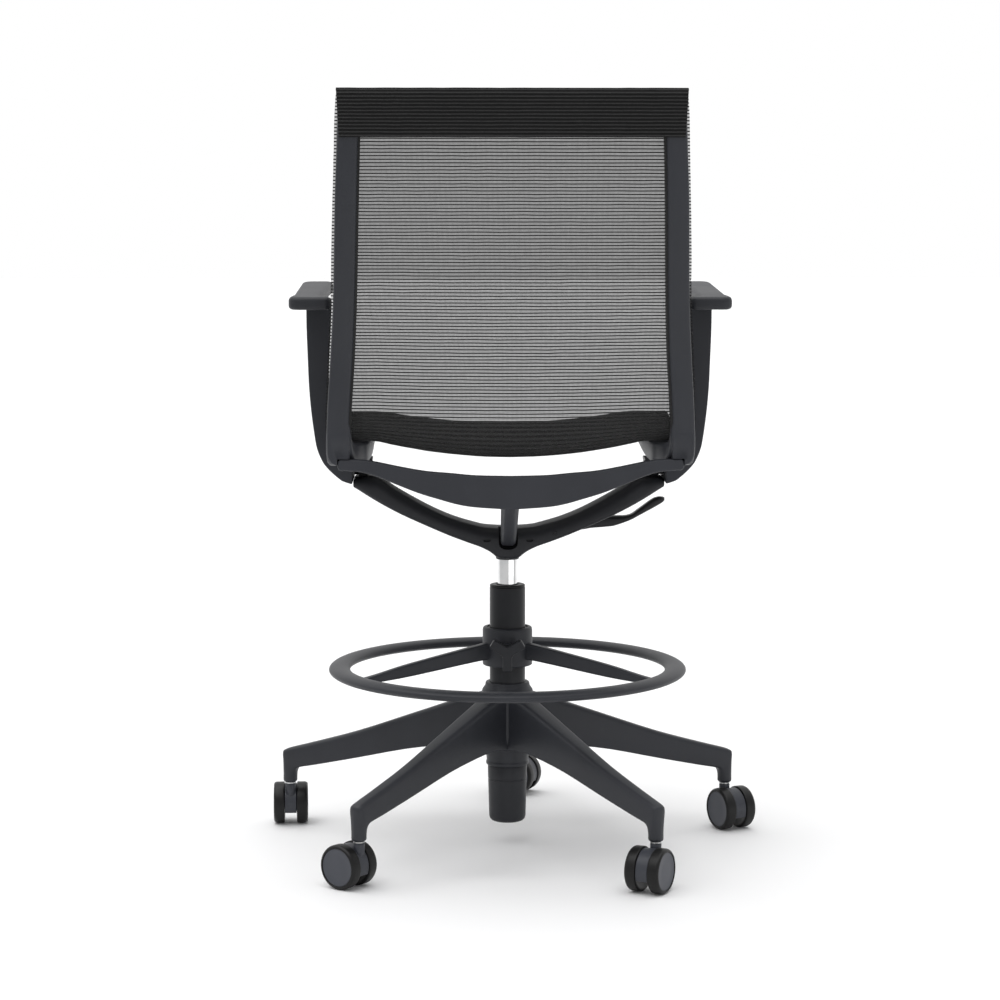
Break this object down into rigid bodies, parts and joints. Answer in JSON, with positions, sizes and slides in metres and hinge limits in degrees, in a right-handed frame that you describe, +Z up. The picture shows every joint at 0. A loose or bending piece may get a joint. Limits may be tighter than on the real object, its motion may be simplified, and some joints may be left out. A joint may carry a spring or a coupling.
{
  "type": "drafting chair",
  "caption": "Tall swivel drafting chair with a stretched mesh sling seat and back, fixed arms, gas column, foot ring and star base on twin-wheel casters.",
  "frame": {"origin": "on the floor, at the middle of the chair's footprint", "axes": "+Z up along the gas column, +Y the way the sitter faces, +X the sitter's right, where the height lever is"},
  "size_m": [0.7013, 0.6846, 1.0458],
  "materials": {
    "nylon": "satin moulded",
    "dark_nylon": "fine-grained moulded",
    "black_rubber": "matte",
    "tread": "matte",
    "cap_grey": "satin moulded",
    "painted_steel": "powder coat",
    "steel": "bright",
    "chrome": "mirror",
    "mesh_fabric": "ribbed open knit"
  },
  "bodies": {
    "base": {"star_base": "nylon", "column_tube": "painted_steel", "guide_bush": "black_rubber", "column_boot": "dark_nylon", "thrust_bearing": "steel"},
    "rod": {"piston_rod": "steel", "rod_clip": "steel"},
    "lift": {"gas_cylinder": "chrome", "yoke": "dark_nylon", "lever_pin": "steel", "torsion_bush_left": "black_rubber", "torsion_bush_right": "black_rubber"},
    "valve": {"valve_button": "steel"},
    "lever": {"lift_lever": "dark_nylon"},
    "sling": {"side_frame_left": "nylon", "side_frame_right": "nylon", "crossbar": "nylon", "spine": "nylon", "top_rail": "dark_nylon", "front_rail": "dark_nylon", "tilt_bracket_left": "painted_steel", "tilt_bracket_right": "painted_steel", "tilt_pin_left": "steel", "tilt_pin_right": "steel", "arm_left": "nylon", "arm_right": "nylon", "arm_pad_left": "dark_nylon", "arm_pad_right": "dark_nylon", "back_mesh": "mesh_fabric", "seat_mesh": "mesh_fabric"},
    "footring": {"foot_ring": "nylon", "ring_collet": "black_rubber"},
    "knob": {"ring_knob": "dark_nylon", "knob_bolt": "steel"},
    "caster_1": {"caster_1_body": "cap_grey", "caster_1_stem": "steel", "caster_1_axle": "steel"},
    "caster_1_wheel_left": {"caster_1_wheel_left": "tread"},
    "caster_1_wheel_right": {"caster_1_wheel_right": "tread"},
    "caster_2": {"caster_2_body": "cap_grey", "caster_2_stem": "steel", "caster_2_axle": "steel"},
    "caster_2_wheel_left": {"caster_2_wheel_left": "tread"},
    "caster_2_wheel_right": {"caster_2_wheel_right": "tread"},
    "caster_3": {"caster_3_body": "cap_grey", "caster_3_stem": "steel", "caster_3_axle": "steel"},
    "caster_3_wheel_left": {"caster_3_wheel_left": "tread"},
    "caster_3_wheel_right": {"caster_3_wheel_right": "tread"},
    "caster_4": {"caster_4_body": "cap_grey", "caster_4_stem": "steel", "caster_4_axle": "steel"},
    "caster_4_wheel_left": {"caster_4_wheel_left": "tread"},
    "caster_4_wheel_right": {"caster_4_wheel_right": "tread"},
    "caster_5": {"caster_5_body": "cap_grey", "caster_5_stem": "steel", "caster_5_axle": "steel"},
    "caster_5_wheel_left": {"caster_5_wheel_left": "tread"},
    "caster_5_wheel_right": {"caster_5_wheel_right": "tread"}
  },
  "joints": [
    {"name": "seat_swivel", "type": "hinge", "parent": "base", "child": "rod", "pos_m": [-0.0105, -0.0167, 0.07], "axis": [0, 0, 1], "continuous": true},
    {"name": "seat_height", "type": "slide", "parent": "rod", "child": "lift", "axis": [0, 0, 1], "range_m": [0, 0.2]},
    {"name": "lever_lift", "type": "hinge", "parent": "lift", "child": "lever", "pos_m": [0.0538, -0.0097, 0.4475], "axis": [0, -1, 0], "range_deg": [0, 3.2], "stiffness_Nm_per_rad": 1, "springref_deg": -4.58},
    {"name": "valve_press", "type": "slide", "parent": "lift", "child": "valve", "axis": [0, 0, 1], "range_m": [-0.0036, 0]},
    {"name": "back_tilt", "type": "hinge", "parent": "lift", "child": "sling", "pos_m": [-0.0105, -0.0717, 0.539], "axis": [1, 0, 0], "range_deg": [0, 8], "stiffness_Nm_per_rad": 150, "springref_deg": -5.73},
    {"name": "ring_height", "type": "slide", "parent": "base", "child": "footring", "axis": [0, 0, 1], "range_m": [-0.02, 0.05]},
    {"name": "ring_knob_turn", "type": "hinge", "parent": "footring", "child": "knob", "pos_m": [-0.0105, -0.0167, 0.2805], "axis": [-0.0222, -0.9998, 0], "continuous": true},
    {"name": "caster_1_swivel", "type": "hinge", "parent": "base", "child": "caster_1", "pos_m": [-0.00313, 0.31592, 0.06], "axis": [0, 0, 1], "continuous": true},
    {"name": "caster_1_wheel_left_roll", "type": "hinge", "parent": "caster_1", "child": "caster_1_wheel_left", "pos_m": [0.01347, 0.30894, 0.03], "axis": [0.3875, 0.9219, 0], "continuous": true},
    {"name": "caster_1_wheel_right_roll", "type": "hinge", "parent": "caster_1", "child": "caster_1_wheel_right", "pos_m": [0.01347, 0.30894, 0.03], "axis": [0.3875, 0.9219, 0], "continuous": true},
    {"name": "caster_2_swivel", "type": "hinge", "parent": "base", "child": "caster_2", "pos_m": [-0.32456, 0.0931, 0.06], "axis": [0, 0, 1], "continuous": true},
    {"name": "caster_2_wheel_left_roll", "type": "hinge", "parent": "caster_2", "child": "caster_2_wheel_left", "pos_m": [-0.32519, 0.11109, 0.03], "axis": [-0.9994, -0.0349, 0], "continuous": true},
    {"name": "caster_2_wheel_right_roll", "type": "hinge", "parent": "caster_2", "child": "caster_2_wheel_right", "pos_m": [-0.32519, 0.11109, 0.03], "axis": [-0.9994, -0.0349, 0], "continuous": true},
    {"name": "caster_3_swivel", "type": "hinge", "parent": "base", "child": "caster_3", "pos_m": [-0.21197, -0.28146, 0.06], "axis": [0, 0, 1], "continuous": true},
    {"name": "caster_3_wheel_left_roll", "type": "hinge", "parent": "caster_3", "child": "caster_3_wheel_left", "pos_m": [-0.22594, -0.27011, 0.03], "axis": [-0.6307, -0.776, 0], "continuous": true},
    {"name": "caster_3_wheel_right_roll", "type": "hinge", "parent": "caster_3", "child": "caster_3_wheel_right", "pos_m": [-0.22594, -0.27011, 0.03], "axis": [-0.6307, -0.776, 0], "continuous": true},
    {"name": "caster_4_swivel", "type": "hinge", "parent": "base", "child": "caster_4", "pos_m": [0.17904, -0.29013, 0.06], "axis": [0, 0, 1], "continuous": true},
    {"name": "caster_4_wheel_left_roll", "type": "hinge", "parent": "caster_4", "child": "caster_4_wheel_left", "pos_m": [0.17021, -0.30581, 0.03], "axis": [0.8712, -0.4909, 0], "continuous": true},
    {"name": "caster_4_wheel_right_roll", "type": "hinge", "parent": "caster_4", "child": "caster_4_wheel_right", "pos_m": [0.17021, -0.30581, 0.03], "axis": [0.8712, -0.4909, 0], "continuous": true},
    {"name": "caster_5_swivel", "type": "hinge", "parent": "base", "child": "caster_5", "pos_m": [0.30812, 0.07907, 0.06], "axis": [0, 0, 1], "continuous": true},
    {"name": "caster_5_wheel_left_roll", "type": "hinge", "parent": "caster_5", "child": "caster_5_wheel_left", "pos_m": [0.31626, 0.06302, 0.03], "axis": [0.8918, 0.4524, 0], "continuous": true},
    {"name": "caster_5_wheel_right_roll", "type": "hinge", "parent": "caster_5", "child": "caster_5_wheel_right", "pos_m": [0.31626, 0.06302, 0.03], "axis": [0.8918, 0.4524, 0], "continuous": true}
  ],
  "couplings": [
    {"joint": "valve_press", "follows": "lever_lift", "m_per_rad": -0.064}
  ]
}
